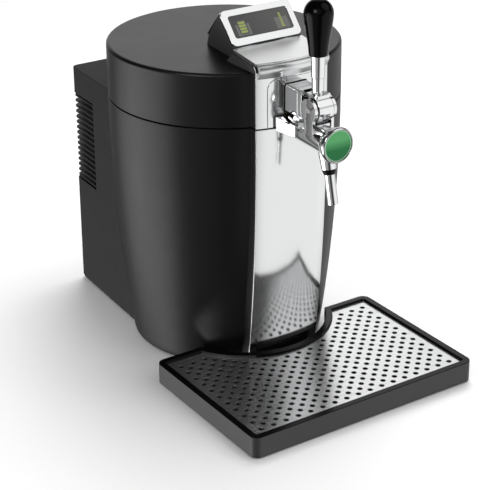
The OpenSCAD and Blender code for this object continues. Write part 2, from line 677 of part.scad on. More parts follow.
bezel_corner_r = 6;
window_corner_r = 3;
window_x = window_w / 2;
window_y0 = (bezel_d - window_d) / 2 + 0.6;
module display_bezel() color([0.84, 0.85, 0.86]) on_bezel() difference() {
    translate([0, 0, -bezel_t]) linear_extrude(bezel_t)
        polygon(round_box(-head_hw, 0, head_hw, bezel_d, bezel_corner_r));
    translate([0, 0, -bezel_t - over]) linear_extrude(bezel_t + 2 * over)
        polygon(round_box(-window_x, window_y0, window_x, window_y0 + window_d, window_corner_r));
}
module display_window() color([0.25, 0.26, 0.26]) on_bezel() translate([0, 0, -bezel_t])
    linear_extrude(bezel_t - 1) polygon(round_box(-window_x, window_y0, window_x,
        window_y0 + window_d, window_corner_r));
module display_module() color([0.35, 0.42, 0.20]) on_bezel() {
    translate([-window_x, window_y0, -bezel_t - 4]) cube([window_w, window_d, 4]);
    translate([-window_x - 1, window_y0 - 1, -bezel_t - 11]) cube([window_w + 2, window_d + 2, 7]);
}

// ---------------------------------------------------------------- tap
spine_y = front_y(spine_r);
cap_y = spine_y - tap_reach;
tube_z = tap_z + 6.6;
// The lever's axle, and where the tube starts to bend down to the spout
hub_y = cap_y + 36.5;
hub_z = arm_z + arm_h / 2 - 3.5;
bend_y = hub_y + 11.5;
spout_y = bend_y - tube_bend_r * cos(spout_tilt);
spout_z = tube_z - tube_bend_r * (1 - sin(spout_tilt));
barrel_back_y = spine_y - 2;
cap_l = 14.5;
barrel_front_y = cap_y + cap_l;
barrel_back_r = barrel_r - 2;
boss_l = 16.5;
collar_l = 6;
hub_slot_hw = hub_hw + 1.3;
neck_hw = 9;
neck_z = tap_z + barrel_r + 0.1;
cheek_y = hub_y - 6;
cheek_r = hub_r - 1.6;
slot_y = hub_y + hub_r + 0.7;
cover_front_y = hub_y + 12;
arm_line_y = hub_y + 19;
arm_line_w = 0.7;
ear_hw = arm_hw - 0.6;
root_y = front_y(lid_in_r) - 0.5;

module at_spout() translate([0, spout_y, spout_z]) rotate([-spout_tilt, 0, 0]) children();
// The beer's way: level from the lid, round a bend and down the leaning spout
module beer_way(r, start_y, end_l) {
    rod_y(0, tube_z, r, bend_y - lap, start_y);
    translate([0, bend_y, tube_z - tube_bend_r]) rotate([0, 0, 180]) rotate([0, -90, 0])
        rotate_extrude(angle = 90 - spout_tilt) translate([tube_bend_r, 0])
            circle(r = r + bend_swell, $fn = 32);
    at_spout() translate([0, 0, -end_l]) cylinder(r = r, h = end_l + lap);
}

module barrel_cone() translate([0, 0, tap_z]) rotate([90, 0, 0]) rotate_extrude() polygon([
    [0, -barrel_back_y], [barrel_back_r - 1, -barrel_back_y],
    [barrel_back_r, -barrel_back_y + 1], [barrel_r, -barrel_front_y], [0, -barrel_front_y]]);

// The room that the end cap takes
module cap_space() translate([0, cap_y, tap_z]) rotate([90, 0, 0]) rotate_extrude() polygon([
    [0, -cap_l], [barrel_r + 0.2, -cap_l], [barrel_r + 0.9, -cap_l + 2.4], [cap_r - 2.2, -8.7],
    [cap_r + 0.2, -6.8], [cap_r + 0.2, over], [0, over]]);

saddle_plan = [[-saddle_hw, root_y], [-saddle_hw, spine_y - 2], [-saddle_front_hw, spine_y - 22],
    [saddle_front_hw, spine_y - 22], [saddle_hw, spine_y - 2], [saddle_hw, root_y]];
groove_w = 2.4;
groove_depth = 1.4;
groove_x = [12.5, 20];
saddle_side = [[root_y, lid_z + 1], [spine_y - 1.5, lid_z + 1], [spine_y - 1.5, seam_z - 1],
    [spine_y - 23, seam_z - 5], [spine_y - 23, saddle_top_z - 6.5],
    [spine_y - 20, saddle_top_z - 5.2], [spine_y - 2, saddle_top_z], [root_y, saddle_top_z]];

module tap_body() color([0.80, 0.81, 0.82]) difference() {
    union() {
        barrel_cone();
        intersection() {
            slab(saddle_plan, seam_z - 20, saddle_top_z + over);
            along_x(saddle_side, -saddle_hw - over, saddle_hw + over);
        }
        block(-neck_hw, slot_y, seam_z + 5, neck_hw, root_y, arm_z);
        block(-neck_hw, cheek_y - 2, tap_z, neck_hw, slot_y + over, neck_z);
        // The cheeks that carry the axle: round ears on the barrel's shoulders
        mirrored_x() {
            rod_x(hub_y, hub_z, cheek_r, hub_slot_hw, ear_hw);
            block(hub_slot_hw, hub_y - 8, tap_z + 4, ear_hw, hub_y + 8, hub_z);
        }
        at_spout() translate([0, 0, -boss_l]) cylinder(r1 = nozzle_r + 2.5, r2 = nozzle_r + 4.2,
            h = boss_l + 6);
    }
    beer_way(tube_r + 0.5, root_y + over, boss_l + over);
    translate([0, hub_y, tube_z]) cylinder(r = plunger_r + fit, h = 20);
    rod_x(hub_y, hub_z, axle_r, -arm_hw - over, arm_hw + over);
    rod_x(hub_y, hub_z, hub_r + move_gap, -hub_slot_hw, hub_slot_hw);
    cap_space();
    // Grooves along the saddle's top
    mirrored_x() for (x = groove_x) along_x([[spine_y - 30, saddle_top_z - 9.4],
        [spine_y - 2, saddle_top_z - groove_depth], [root_y - over, saddle_top_z - groove_depth],
        [root_y - over, saddle_top_z + 5], [spine_y - 30, saddle_top_z + 5]], x, x + groove_w);
}

module arm_cover() color([0.80, 0.81, 0.82]) difference() {
    along_y(arch(arm_hw, arm_z, arm_top_z, 4, 6), cover_front_y, root_y);
    block(-hub_slot_hw, cover_front_y - over, arm_z - over, hub_slot_hw, slot_y, arm_top_z + over);
    rod_x(hub_y, hub_z, cheek_r + move_gap, -arm_hw - over, arm_hw + over);
    // The joint line round the arm
    difference() {
        block(-arm_hw - over, arm_line_y, arm_z - over, arm_hw + over, arm_line_y + arm_line_w,
            arm_top_z + over);
        along_y(arch(arm_hw - arm_line_w, arm_z - 2 * over, arm_top_z - arm_line_w, 4, 6),
            arm_line_y - over, arm_line_y + 2 * over);
    }
}

module lever_axle() color([0.75, 0.75, 0.77]) rod_x(hub_y, hub_z, axle_r, -arm_hw, arm_hw);

// The bell of the end cap and its recess for the badge, by radius and distance behind its face
bell = [[0, cap_l], [barrel_r, cap_l], [barrel_r + 0.6, cap_l - 2.5], [cap_r - 2.4, 8.4],
    [cap_r - 0.6, 6.6], [cap_r, 4.6], [cap_r, 2.2], [cap_r - 0.7, 0.7], [cap_r - 1.8, 0], [cap_r - 2.3, 0.3],
    [cap_r - 2.3, 3], [0, 3]];
module cap_ring() color([0.84, 0.85, 0.86]) translate([0, cap_y, tap_z]) rotate([90, 0, 0])
    rotate_extrude() polygon([for (p = bell) [p[0], -p[1]]]);
module badge_disc() color([0.10, 0.45, 0.22]) translate([0, cap_y, tap_z]) rotate([90, 0, 0])
    rotate_extrude() polygon([[0, -3], [cap_r - 2.3, -3], [cap_r - 2.3, -1.2],
        [cap_r - 4, -0.9], [(cap_r - 4) * 0.6, -0.6], [0, -0.4]]);

module spout_collar() color([0.06, 0.06, 0.06]) at_spout() difference() {
    translate([0, 0, -boss_l - collar_l])
        cylinder(r1 = nozzle_r + 0.5, r2 = nozzle_r + 2.3, h = collar_l);
    translate([0, 0, -boss_l - collar_l - over]) cylinder(r = nozzle_bore_r, h = collar_l + 2 * over);
}
module spout_nozzle() color([0.82, 0.83, 0.84]) at_spout() difference() {
    translate([0, 0, -boss_l - collar_l - nozzle_l]) cylinder(r = nozzle_r, h = nozzle_l);
    translate([0, 0, -boss_l - collar_l - nozzle_l - over])
        cylinder(r = nozzle_bore_r, h = nozzle_l + 2 * over);
}

coupler_r = 20;
coupler_spigot_y = axis_y - 18;
module beer_tube() color([0.85, 0.86, 0.84]) difference() {
    beer_way(tube_r, coupler_spigot_y, boss_l + 2);
    beer_way(tube_bore_r, coupler_spigot_y + over, boss_l + 2 + over);
}
module keg_coupler() color([0.20, 0.22, 0.24]) union() {
    keg_turned([[0, seam_z - 18], [coupler_r - 2, seam_z - 18], [coupler_r, seam_z - 16],
        [coupler_r, seam_z - 8], [coupler_r - 6, seam_z - 5], [9, seam_z - 4], [9, liner_z],
        [0, liner_z]]);
    rod_y(0, tube_z, tube_r + 1.5, coupler_spigot_y, axis_y);
    rod_y(0, tube_z, tube_bore_r, coupler_spigot_y - 8, axis_y);
}

// ---------------------------------------------------------------- lever
plunger_r = 4;
plunger_lift = 2;
plunger_gap = 0.3;
// Radius of the plunger's domed tip, which rides on the cam
plunger_dome_r = 5;
// The lever's swing, how far the cam's full depth lasts past it, and where the track has run out
lever_swing = 50;
cam_dwell = 12;
cam_end = 80;
cam_hw = plunger_r + 0.5;
// How deep the cam's track is where it faces down at a turn of the lever
function cam_drop(a) = plunger_lift * min(a / lever_swing, 1,
    (cam_end - a) / (cam_end - lever_swing - cam_dwell));
function cam_point(a, r) = [hub_y - r * sin(a), hub_z - r * cos(a)];
flange_z = hub_z + hub_r - 0.6;
flange_t = 3.2;
shaft_y = hub_y + 2.5;
shaft_top_z = flange_z + flange_t + shaft_l;
socket_l = 6;
shaft_step_z = flange_z + flange_t + shaft_l * 0.43;
shaft_r = 8.1;
module lever_hub() color([0.80, 0.81, 0.82]) difference() {
    union() {
        rod_x(hub_y, hub_z, hub_r, -hub_hw, hub_hw);
        slab([for (p = round_box(-hub_hw - 0.6, -11.5, hub_hw + 0.6, 10.5, 3)) [p[0], p[1] + shaft_y]],
            flange_z, flange_z + flange_t);
        block(-hub_hw + 1.5, hub_y - 7, hub_z + 10, hub_hw - 1.5, hub_y + 7, flange_z + 0.5);
    }
    rod_x(hub_y, hub_z, axle_r + fit, -hub_hw - over, hub_hw + over);
    along_x(concat([for (a = [0:5:cam_end]) cam_point(a, hub_r - cam_drop(a))],
        [for (a = [cam_end:-10:0]) cam_point(a, hub_r + 2)]), -cam_hw, cam_hw);
}
module lever_shaft() color([0.84, 0.85, 0.86]) translate([0, shaft_y, 0]) rotate_extrude() polygon([
    [0, flange_z + flange_t], [7, flange_z + flange_t], [6.5, flange_z + flange_t + 1.5],
    [6.9, shaft_step_z - 0.6], [7.4, shaft_step_z], [shaft_r, shaft_top_z],
    [shaft_r, shaft_top_z + socket_l], [0, shaft_top_z + socket_l]]);

// The knob swells from its foot to a ball by a smooth step
knob_ball_z = shaft_top_z + knob_h - knob_r;
knob_steps = 14;
function smooth(t) = t * t * (3 - 2 * t);
knob_side = [for (i = [1:knob_steps]) let (t = i / knob_steps)
    [knob_foot_r + (knob_r - knob_foot_r) * (0.35 * t + 0.65 * smooth(t)),
        shaft_top_z + 2 + (knob_ball_z - shaft_top_z - 2) * t]];
module lever_knob() color([0.03, 0.03, 0.03]) translate([0, shaft_y, 0]) difference() {
    rotate_extrude() polygon(concat([[0, shaft_top_z], [knob_foot_r - 1.5, shaft_top_z],
        [knob_foot_r - 0.4, shaft_top_z + 0.5], [knob_foot_r, shaft_top_z + 2]], knob_side,
        [for (i = [1:10]) [knob_r * cos(9 * i), knob_ball_z + knob_r * sin(9 * i)]]));
    translate([0, 0, shaft_top_z - over]) cylinder(r = shaft_r, h = socket_l + over);
}

plunger_z = tube_z + tube_r + 0.2;
plunger_top_z = hub_z - hub_r - plunger_gap;
module pinch_plunger() color([0.85, 0.85, 0.83]) translate([0, hub_y, 0]) rotate_extrude() polygon(
    concat([[0, plunger_z], [plunger_r, plunger_z]],
        arc(0, plunger_top_z - plunger_dome_r, plunger_dome_r, acos(plunger_r / plunger_dome_r), 90, 5)));

// ---------------------------------------------------------------- drip tray
pad_h = 1.5;
tray_pad_r = 7;
pad_in = 20;
tray_y0 = -total_d / 2;
tray_y1 = axis_y - tray_back;
// The notch's arc goes through a point in front of the spine and one beside the body
notch_front_y = axis_y - spine_at(tray_h) - tray_gap;
notch_hw = sqrt(pow(side_r(tray_h), 2) - pow(tray_back, 2)) + horn_gap;
notch_l = tray_y1 - notch_front_y;
arc_r = (notch_hw * notch_hw + notch_l * notch_l) / (2 * notch_l);
arc_y = notch_front_y + arc_r;
module tray_plan(inset, z0, z1) difference() {
    slab(round_box(-tray_w / 2 + inset, tray_y0 + inset, tray_w / 2 - inset, tray_y1 - inset,
        max(2, tray_corner_r - inset)), z0, z1);
    translate([0, arc_y, z0 - over]) cylinder(r = arc_r + inset, h = z1 - z0 + 2 * over, $fn = 144);
}
plate_h = 2;
plate_drop = 3;
plate_z = tray_h - plate_drop - plate_h;
ledge_w = 3;
tray_floor_t = 2.5;
module drip_tray() color([0.13, 0.13, 0.13]) difference() {
    tray_plan(0, pad_h, tray_h);
    tray_plan(rim_w, plate_z, tray_h + over);
    tray_plan(rim_w + ledge_w, pad_h + tray_floor_t, tray_h + over);
}
row_n = floor((tray_w / 2 - rim_w - 10) / hole_pitch);
first_row_y = tray_y0 + rim_w + 10.5;
col_n = floor((tray_y1 - rim_w - 8 - first_row_y) / hole_pitch);
// The holes that lie on the plate and clear of its edge behind
hole_spots = [for (v = [0:0.5:col_n]) for (u = [-row_n:row_n - 2 * (v - floor(v))])
    let (x = (u + v - floor(v)) * hole_pitch, y = first_row_y + v * hole_pitch)
        if (norm([x, y - arc_y]) > arc_r + rim_w + hole_d / 2 + 4) [x, y]];
module drip_grille() color([0.75, 0.76, 0.77]) difference() {
    tray_plan(rim_w + move_gap, plate_z, plate_z + plate_h);
    translate([0, 0, plate_z - over]) linear_extrude(plate_h + 2 * over)
        for (p = hole_spots) translate(p) circle(d = hole_d, $fn = 16);
}
pad_spots = [[-tray_w / 2 + pad_in, tray_y0 + pad_in], [tray_w / 2 - pad_in, tray_y0 + pad_in],
    [-tray_w / 2 + pad_in, tray_y1 - pad_in], [tray_w / 2 - pad_in, tray_y1 - pad_in]];
module tray_pads() color([0.05, 0.05, 0.05]) for (p = pad_spots)
    translate([p[0], p[1], 0]) cylinder(r = tray_pad_r, h = pad_h);

body_shell();
top_deck();
keg_well();
well_insulation();
front_panel();
base_plate();
rubber_feet();
base_screws();
rear_housing();
louvre_grille();
rear_screws();
cold_block();
peltier_module();
heat_sink();
fan_frame();
fan_rotor();
control_board();
mains_inlet();
inlet_pins();
switch_frame();
power_rocker();
hinge_bracket();
hinge_pin();
lid_shell();
lid_liner();
lid_insulation();
lid_seal();
lid_fascia();
tap_shield();
head_core();
head_cover();
head_back();
display_bezel();
display_window();
display_module();
tap_body();
arm_cover();
lever_axle();
cap_ring();
badge_disc();
spout_collar();
spout_nozzle();
beer_tube();
keg_coupler();
lever_hub();
lever_shaft();
lever_knob();
pinch_plunger();
drip_tray();
drip_grille();
tray_pads();
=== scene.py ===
"""A counter-top beer dispenser for small kegs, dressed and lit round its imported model."""

import json
import math

import bmesh
import bpy
from mathutils import Matrix, Vector


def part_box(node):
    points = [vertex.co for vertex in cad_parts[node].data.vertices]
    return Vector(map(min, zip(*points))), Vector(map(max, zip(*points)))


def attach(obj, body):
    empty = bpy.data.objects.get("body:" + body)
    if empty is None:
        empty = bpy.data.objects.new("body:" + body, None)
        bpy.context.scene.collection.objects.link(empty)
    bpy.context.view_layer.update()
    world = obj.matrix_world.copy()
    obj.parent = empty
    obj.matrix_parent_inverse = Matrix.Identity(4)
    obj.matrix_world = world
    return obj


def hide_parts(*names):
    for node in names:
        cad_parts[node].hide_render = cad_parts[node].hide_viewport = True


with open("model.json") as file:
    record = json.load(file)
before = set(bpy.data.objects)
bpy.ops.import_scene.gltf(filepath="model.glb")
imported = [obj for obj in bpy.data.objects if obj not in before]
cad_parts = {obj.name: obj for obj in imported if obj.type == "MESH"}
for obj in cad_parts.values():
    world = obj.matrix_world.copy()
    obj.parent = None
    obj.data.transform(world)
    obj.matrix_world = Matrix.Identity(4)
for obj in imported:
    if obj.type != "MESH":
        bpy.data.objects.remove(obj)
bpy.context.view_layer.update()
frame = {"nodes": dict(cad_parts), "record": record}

MM = 0.001
NODES = frame["nodes"]
BODY_OF = {node: body for body, nodes in frame["record"]["behaviour"]["bodies"].items() for node in nodes}
SLOT_OF = {row["node"]: row["material_slot"] for row in frame["record"]["subparts"]}

# ---------------------------------------------------------------- camera
# Fitted to the drip plate's holes in the photograph: side and focal length in pixels, place in metres
PHOTO_SIDE = 490
FOCAL_PX = 1575.0
CAMERA_AT = Vector((-0.9461, -1.4404, 0.9184))
CAMERA_LOOK = Vector((0.50934, 0.77273, -0.37877))
CAMERA_ROLL = -0.435
CAMERA_SHIFT_Y = -0.15
SENSOR = 36.0


def make_camera():
    data = bpy.data.cameras.new("photo_camera")
    data.sensor_width = SENSOR
    data.lens = FOCAL_PX / PHOTO_SIDE * SENSOR
    data.shift_y = CAMERA_SHIFT_Y
    data.clip_start = 0.05
    data.clip_end = 50
    camera = bpy.data.objects.new("photo_camera", data)
    bpy.context.scene.collection.objects.link(camera)
    turn = CAMERA_LOOK.to_track_quat("-Z", "Y").to_matrix()
    roll = Matrix.Rotation(math.radians(CAMERA_ROLL), 3, "Z")
    camera.matrix_world = Matrix.Translation(CAMERA_AT) @ (turn @ roll).to_4x4()
    bpy.context.scene.camera = camera


make_camera()


# ---------------------------------------------------------------- material helpers
# Most of a noise's values lie between these two
NOISE_SPAN = (0.3, 0.7)


class Shader:
    """One material's node tree, with short calls for what the materials share."""

    COAT_ROUGHNESS = 0.05

    def __init__(self, name, color, metallic=0.0, roughness=0.4, coat=0.0, specular=0.5):
        self.material = bpy.data.materials.new(name)
        self.material.use_nodes = True
        self.tree = self.material.node_tree
        self.nodes = self.tree.nodes
        self.bsdf = self.nodes["Principled BSDF"]
        self.set("Base Color", (*color, 1))
        self.set("Metallic", metallic)
        self.set("Roughness", roughness)
        self.set("Coat Weight", coat)
        self.set("Coat Roughness", self.COAT_ROUGHNESS)
        self.set("Specular IOR Level", specular)
        self.place = self.nodes.new("ShaderNodeTexCoord").outputs["Object"]
        self.normal = None

    def set(self, socket, value):
        self.bsdf.inputs[socket].default_value = value

    def link(self, source, socket):
        self.tree.links.new(source, socket)

    def stretched(self, x, y, z):
        node = self.nodes.new("ShaderNodeMapping")
        node.inputs["Scale"].default_value = (x, y, z)
        self.link(self.place, node.inputs["Vector"])
        return node.outputs["Vector"]

    def noise(self, scale, detail=2.0, place=None):
        node = self.nodes.new("ShaderNodeTexNoise")
        node.inputs["Scale"].default_value = scale
        node.inputs["Detail"].default_value = detail
        self.link(place or self.place, node.inputs["Vector"])
        return node.outputs["Fac"]

    def span(self, value, low, high, out_low, out_high):
        node = self.nodes.new("ShaderNodeMapRange")
        limits = {"From Min": low, "From Max": high, "To Min": out_low, "To Max": out_high}
        for name, number in limits.items():
            node.inputs[name].default_value = number
        self.link(value, node.inputs["Value"])
        return node.outputs["Result"]

    def math(self, operation, first, second):
        node = self.nodes.new("ShaderNodeMath")
        node.operation = operation
        for value, socket in zip((first, second), node.inputs):
            if isinstance(value, (int, float)):
                socket.default_value = value
            else:
                self.link(value, socket)
        return node.outputs[0]

    def mix(self, factor, first, second):
        node = self.nodes.new("ShaderNodeMix")
        node.data_type = "RGBA"
        for value, socket in zip((first, second), (node.inputs[6], node.inputs[7])):
            if isinstance(value, tuple):
                socket.default_value = (*value, 1)
            else:
                self.link(value, socket)
        self.link(factor, node.inputs[0])
        return node.outputs[2]

    def tone(self, first, second, scale, detail=3.0, place=None):
        """The colour wanders between two tones."""
        factor = self.span(self.noise(scale, detail, place), *NOISE_SPAN, 0, 1)
        self.link(self.mix(factor, first, second), self.bsdf.inputs["Base Color"])

    def sheen_spots(self, low, high, scale, detail=3.0, place=None):
        """The roughness wanders between two values."""
        gloss = self.span(self.noise(scale, detail, place), *NOISE_SPAN, low, high)
        self.link(gloss, self.bsdf.inputs["Roughness"])

    def rounded(self, radius):
        """Edges catch the light as if they were rounded to this radius."""
        node = self.nodes.new("ShaderNodeBevel")
        node.samples = 4
        node.inputs["Radius"].default_value = radius
        self.normal = node.outputs["Normal"]
        self.link(self.normal, self.bsdf.inputs["Normal"])

    def bump(self, height, depth, strength=1.0):
        node = self.nodes.new("ShaderNodeBump")
        node.inputs["Distance"].default_value = depth
        node.inputs["Strength"].default_value = strength
        self.link(height, node.inputs["Height"])
        if self.normal is not None:
            self.link(self.normal, node.inputs["Normal"])
        self.normal = node.outputs["Normal"]
        self.link(self.normal, self.bsdf.inputs["Normal"])


def moulded(name, color, roughness, grain=2600, depth=0.00003, coat=0.0, specular=0.3, edge=0.0006):
    """Moulded plastic: a fine spark-eroded grain, uneven gloss and a slight cloud in the colour."""
    shader = Shader(name, color, roughness=roughness, coat=coat, specular=specular)
    shader.rounded(edge)
    lighter = tuple(c * 1.10 for c in color)
    darker = tuple(c * 0.92 for c in color)
    shader.tone(darker, lighter, 9)
    shader.sheen_spots(roughness - 0.012, roughness + 0.015, 40)
    shader.bump(shader.noise(grain, 1.0), depth, 0.5)
    return shader


def polished(name, color, roughness, wander=0.02, edge=0.0005):
    """Polished or plated metal: thin smears in its gloss and a barely uneven surface."""
    shader = Shader(name, color, metallic=1.0, roughness=roughness)
    shader.rounded(edge)
    shader.sheen_spots(max(0.01, roughness - wander), roughness + wander, 30, 4)
    shader.bump(shader.noise(14, 2), 0.0004, 0.03)
    return shader


def brushed(name, color, roughness, stretch, depth=0.000004, edge=0.0004, metallic=1.0):
    """Brushed sheet: fine scratches along one way."""
    shader = Shader(name, color, metallic=metallic, roughness=roughness)
    shader.rounded(edge)
    lines = shader.noise(1.0, 3, shader.stretched(*stretch))
    gloss = shader.span(lines, *NOISE_SPAN, roughness - 0.05, roughness + 0.06)
    shader.link(gloss, shader.bsdf.inputs["Roughness"])
    shader.bump(lines, depth, 0.3)
    return shader


def badge_material(centre, radius):
    """Green enamel with painted light, lighter above and darker below as if lit from above, inside a pale
    ring with a dark rim.
    """
    shader = Shader("badge_green", (0.02, 0.28, 0.10), roughness=0.25, coat=0.2, specular=0.2)
    shift = shader.nodes.new("ShaderNodeVectorMath")
    shift.operation = "SUBTRACT"
    shift.inputs[1].default_value = centre
    shader.link(shader.place, shift.inputs[0])
    parts = shader.nodes.new("ShaderNodeSeparateXYZ")
    shader.link(shift.outputs[0], parts.inputs[0])
    x_square = shader.math("POWER", parts.outputs["X"], 2.0)
    z_square = shader.math("POWER", parts.outputs["Z"], 2.0)
    distance = shader.math("SQRT", shader.math("ADD", x_square, z_square), 0.0)
    r = shader.math("DIVIDE", distance, radius)
    # Painted light: the green is lighter at the top and darker at the bottom, as if lit from above
    height = shader.span(parts.outputs["Z"], -0.25 * radius, 0.35 * radius, 0, 1)
    painted_light_field = shader.mix(height, (0.002, 0.15, 0.035), (0.09, 0.38, 0.13))
    ring_in = shader.span(r, 0.905, 0.925, 0, 1)
    ring_out = shader.span(r, 0.955, 0.97, 1, 0)
    ring = shader.math("MULTIPLY", ring_in, ring_out)
    inside = shader.mix(ring, painted_light_field, (0.42, 0.62, 0.45))
    edge = shader.span(r, 0.965, 0.985, 0, 1)
    shader.link(shader.mix(edge, inside, (0.0, 0.03, 0.012)), shader.bsdf.inputs["Base Color"])
    shader.bump(shader.noise(900, 2), 0.00002, 0.3)
    return shader


def screen_material(centre, half_w):
    """The display's glass: smoked almost black, with painted light that makes it a little lighter towards
    its right.
    """
    shader = Shader("screen_smoked_painted_light", (0.05, 0.05, 0.05), roughness=0.10, coat=0.5, specular=0.35)
    parts = shader.nodes.new("ShaderNodeSeparateXYZ")
    shader.link(shader.place, parts.inputs[0])
    # Painted light: the glass is drawn lighter towards its right, with a random cloud on top
    across = shader.span(parts.outputs["X"], centre.x - half_w, centre.x + half_w, 0, 1)
    cloud = shader.span(shader.noise(30, 2), *NOISE_SPAN, -0.1, 0.1)
    painted_light_fade = shader.math("ADD", across, cloud)
    tint_and_painted_light = shader.mix(painted_light_fade, (0.028, 0.029, 0.028), (0.062, 0.063, 0.060))
    shader.link(tint_and_painted_light, shader.bsdf.inputs["Base Color"])
    shader.bump(shader.noise(60, 2), 0.0001, 0.02)
    return shader


def glow_material():
    """The lit segments of the display."""
    shader = Shader("segment_glow", (0.30, 0.42, 0.06), roughness=0.4, specular=0.3)
    shader.tone((0.20, 0.25, 0.06), (0.26, 0.32, 0.08), 500)
    shader.set("Emission Color", (0.38, 0.46, 0.12, 1))
    shader.set("Emission Strength", 0.12)
    return shader


MATERIALS = {
    "body_plastic": moulded("body_plastic", (0.0030, 0.0030, 0.0032), 0.37, specular=0.34, edge=0.0008),
    "lid_plastic": moulded("lid_plastic", (0.0032, 0.0032, 0.0034), 0.37, specular=0.34, edge=0.0008),
    "rear_plastic": moulded("rear_plastic", (0.0030, 0.0030, 0.0032), 0.58, specular=0.27, edge=0.0008),
    # A lighter grey than the other black plastics: painted light, so that the head's side reads as lit
    "head_plastic_painted_light": moulded("head_plastic_painted_light", (0.055, 0.055, 0.056), 0.42, specular=0.3),
    "black_plastic": moulded("black_plastic", (0.006, 0.006, 0.006), 0.42, specular=0.15),
    "tray_plastic": moulded("tray_plastic", (0.030, 0.030, 0.030), 0.42, specular=0.42, edge=0.0008),
    "tray_gloss": moulded("tray_gloss", (0.003, 0.003, 0.003), 0.16, 1200, 0.000004, specular=0.12,
                          edge=0.0008),
    "gloss_black": moulded("gloss_black", (0.0012, 0.0012, 0.0012), 0.14, 1200, 0.000004, specular=0.12),
    "polished_metal": polished("polished_metal", (0.84, 0.845, 0.85), 0.07),
    "panel_metal": polished("panel_metal", (0.79, 0.795, 0.80), 0.12, 0.015, edge=0.0008),
    "satin_metal": polished("satin_metal", (0.80, 0.805, 0.81), 0.30, 0.02),
    "plate_steel": brushed("plate_steel", (0.68, 0.685, 0.69), 0.21, (60, 700, 60), metallic=0.93),
    "drawn_aluminium": brushed("drawn_aluminium", (0.72, 0.73, 0.74), 0.32, (60, 60, 900)),
    "steel": brushed("steel", (0.62, 0.62, 0.63), 0.20, (90, 1400, 90)),
    "foam": moulded("foam", (0.70, 0.62, 0.42), 0.85, 700, 0.0003),
    "rubber_black": moulded("rubber_black", (0.012, 0.012, 0.012), 0.75, 1500, 0.00006),
    "liner_plastic": moulded("liner_plastic", (0.45, 0.45, 0.43), 0.45),
    "circuit_board": moulded("circuit_board", (0.02, 0.12, 0.05), 0.4, 500, 0.0001),
    "ceramic": moulded("ceramic", (0.75, 0.75, 0.72), 0.6),
    "brass_pin": polished("brass_pin", (0.75, 0.58, 0.28), 0.22),
    "tube_silicone": moulded("tube_silicone", (0.55, 0.55, 0.52), 0.4),
    "red_plastic": moulded("red_plastic", (0.16, 0.008, 0.008), 0.3, coat=0.3),
    "lcd_pale": moulded("lcd_pale", (0.13, 0.132, 0.124), 0.18, 900, 0.00001, edge=0.0002),
    "lcd_dark": moulded("lcd_dark", (0.010, 0.011, 0.010), 0.25, 900, 0.00001, edge=0.0001),
    "white_mark": moulded("white_mark", (0.62, 0.62, 0.60), 0.45, 900, 0.00001, edge=0.0001),
    "segment_glow": glow_material(),
}


def centre_of(node):
    low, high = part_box(node)
    return (low + high) / 2


badge_low, badge_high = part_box("badge_disc")
MATERIALS["green_badge"] = badge_material(centre_of("badge_disc"), (badge_high.x - badge_low.x) / 2)
window_low, window_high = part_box("display_window")
MATERIALS["clear_screen"] = screen_material(centre_of("display_window"), (window_high.x - window_low.x) / 2)

# Nodes whose finish differs from the rest of their slot
OWN_FINISH = {
    "drip_tray": "tray_plastic",
    "drip_grille": "plate_steel",
    "front_panel": "panel_metal",
    "lid_fascia": "panel_metal",
    "tap_shield": "panel_metal",
    "rear_housing": "rear_plastic",
    # The head's core takes the lighter grey of painted light on its side
    "head_core": "head_plastic_painted_light",
    "head_cover": "satin_metal",
    "lever_knob": "gloss_black",
}


def finish_of(node):
    return OWN_FINISH.get(node, SLOT_OF[node])


def dress(obj, finish):
    obj.data.materials.clear()
    obj.data.materials.append(MATERIALS[finish].material)


for node_name, node_object in NODES.items():
    dress(node_object, finish_of(node_name))


# ---------------------------------------------------------------- finished pieces
WELD_M = 2e-6
FLAT_ANGLE = math.radians(0.2)
SHARP_ANGLE = math.radians(32)
SMOOTH_ANGLE = math.radians(24)
# The roundness of each piece's edges, in millimetres; 0 leaves them as they are
EDGES = {
    "body_shell": 0.6,
    "front_panel": 0.5,
    "lid_fascia": 0.25,
    "tap_shield": 0.2,
    "lid_shell": 0.5,
    "rear_housing": 0.5,
    "louvre_grille": 0.4,
    "base_plate": 0.4,
    "drip_tray": 0.6,
    "display_bezel": 0.5,
    "display_window": 0.1,
    "head_cover": 0.25,
    "head_core": 0.1,
    "head_back": 0.4,
    "arm_cover": 0.35,
    "cap_ring": 0.25,
    "lever_hub": 0.3,
    "lever_shaft": 0.25,
    "lever_knob": 0,
    "tap_body": 0,
    "badge_disc": 0,
    "spout_collar": 0.4,
    "spout_nozzle": 0.35,
    "hinge_bracket": 0.4,
    "hinge_pin": 0.3,
    "rubber_feet": 0.5,
    "tray_pads": 0.3,
    "mains_inlet": 0.2,
    "switch_frame": 0.3,
    "power_rocker": 0.25,
    "keg_well": 0.4,
    "top_deck": 0.3,
    "lid_liner": 0.3,
    "keg_coupler": 0,
}
# Pieces with short edges, whose rounding isn't held back to the shortest of them
LOOSE = {"rear_housing", "lid_shell", "lid_fascia", "tap_shield", "head_core", "arm_cover", "lever_hub",
         "switch_frame", "power_rocker"}


def add_piece(name, mesh, body, finish):
    piece = bpy.data.objects.new(name, mesh)
    bpy.context.scene.collection.objects.link(piece)
    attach(piece, body)
    dress(piece, finish)
    return piece


def joined(node):
    """A node's shape with its facets joined to whole faces."""
    shape = bmesh.new()
    shape.from_mesh(NODES[node].data)
    bmesh.ops.remove_doubles(shape, verts=shape.verts, dist=WELD_M)
    bmesh.ops.dissolve_limit(shape, angle_limit=FLAT_ANGLE, verts=shape.verts, edges=shape.edges)
    return shape


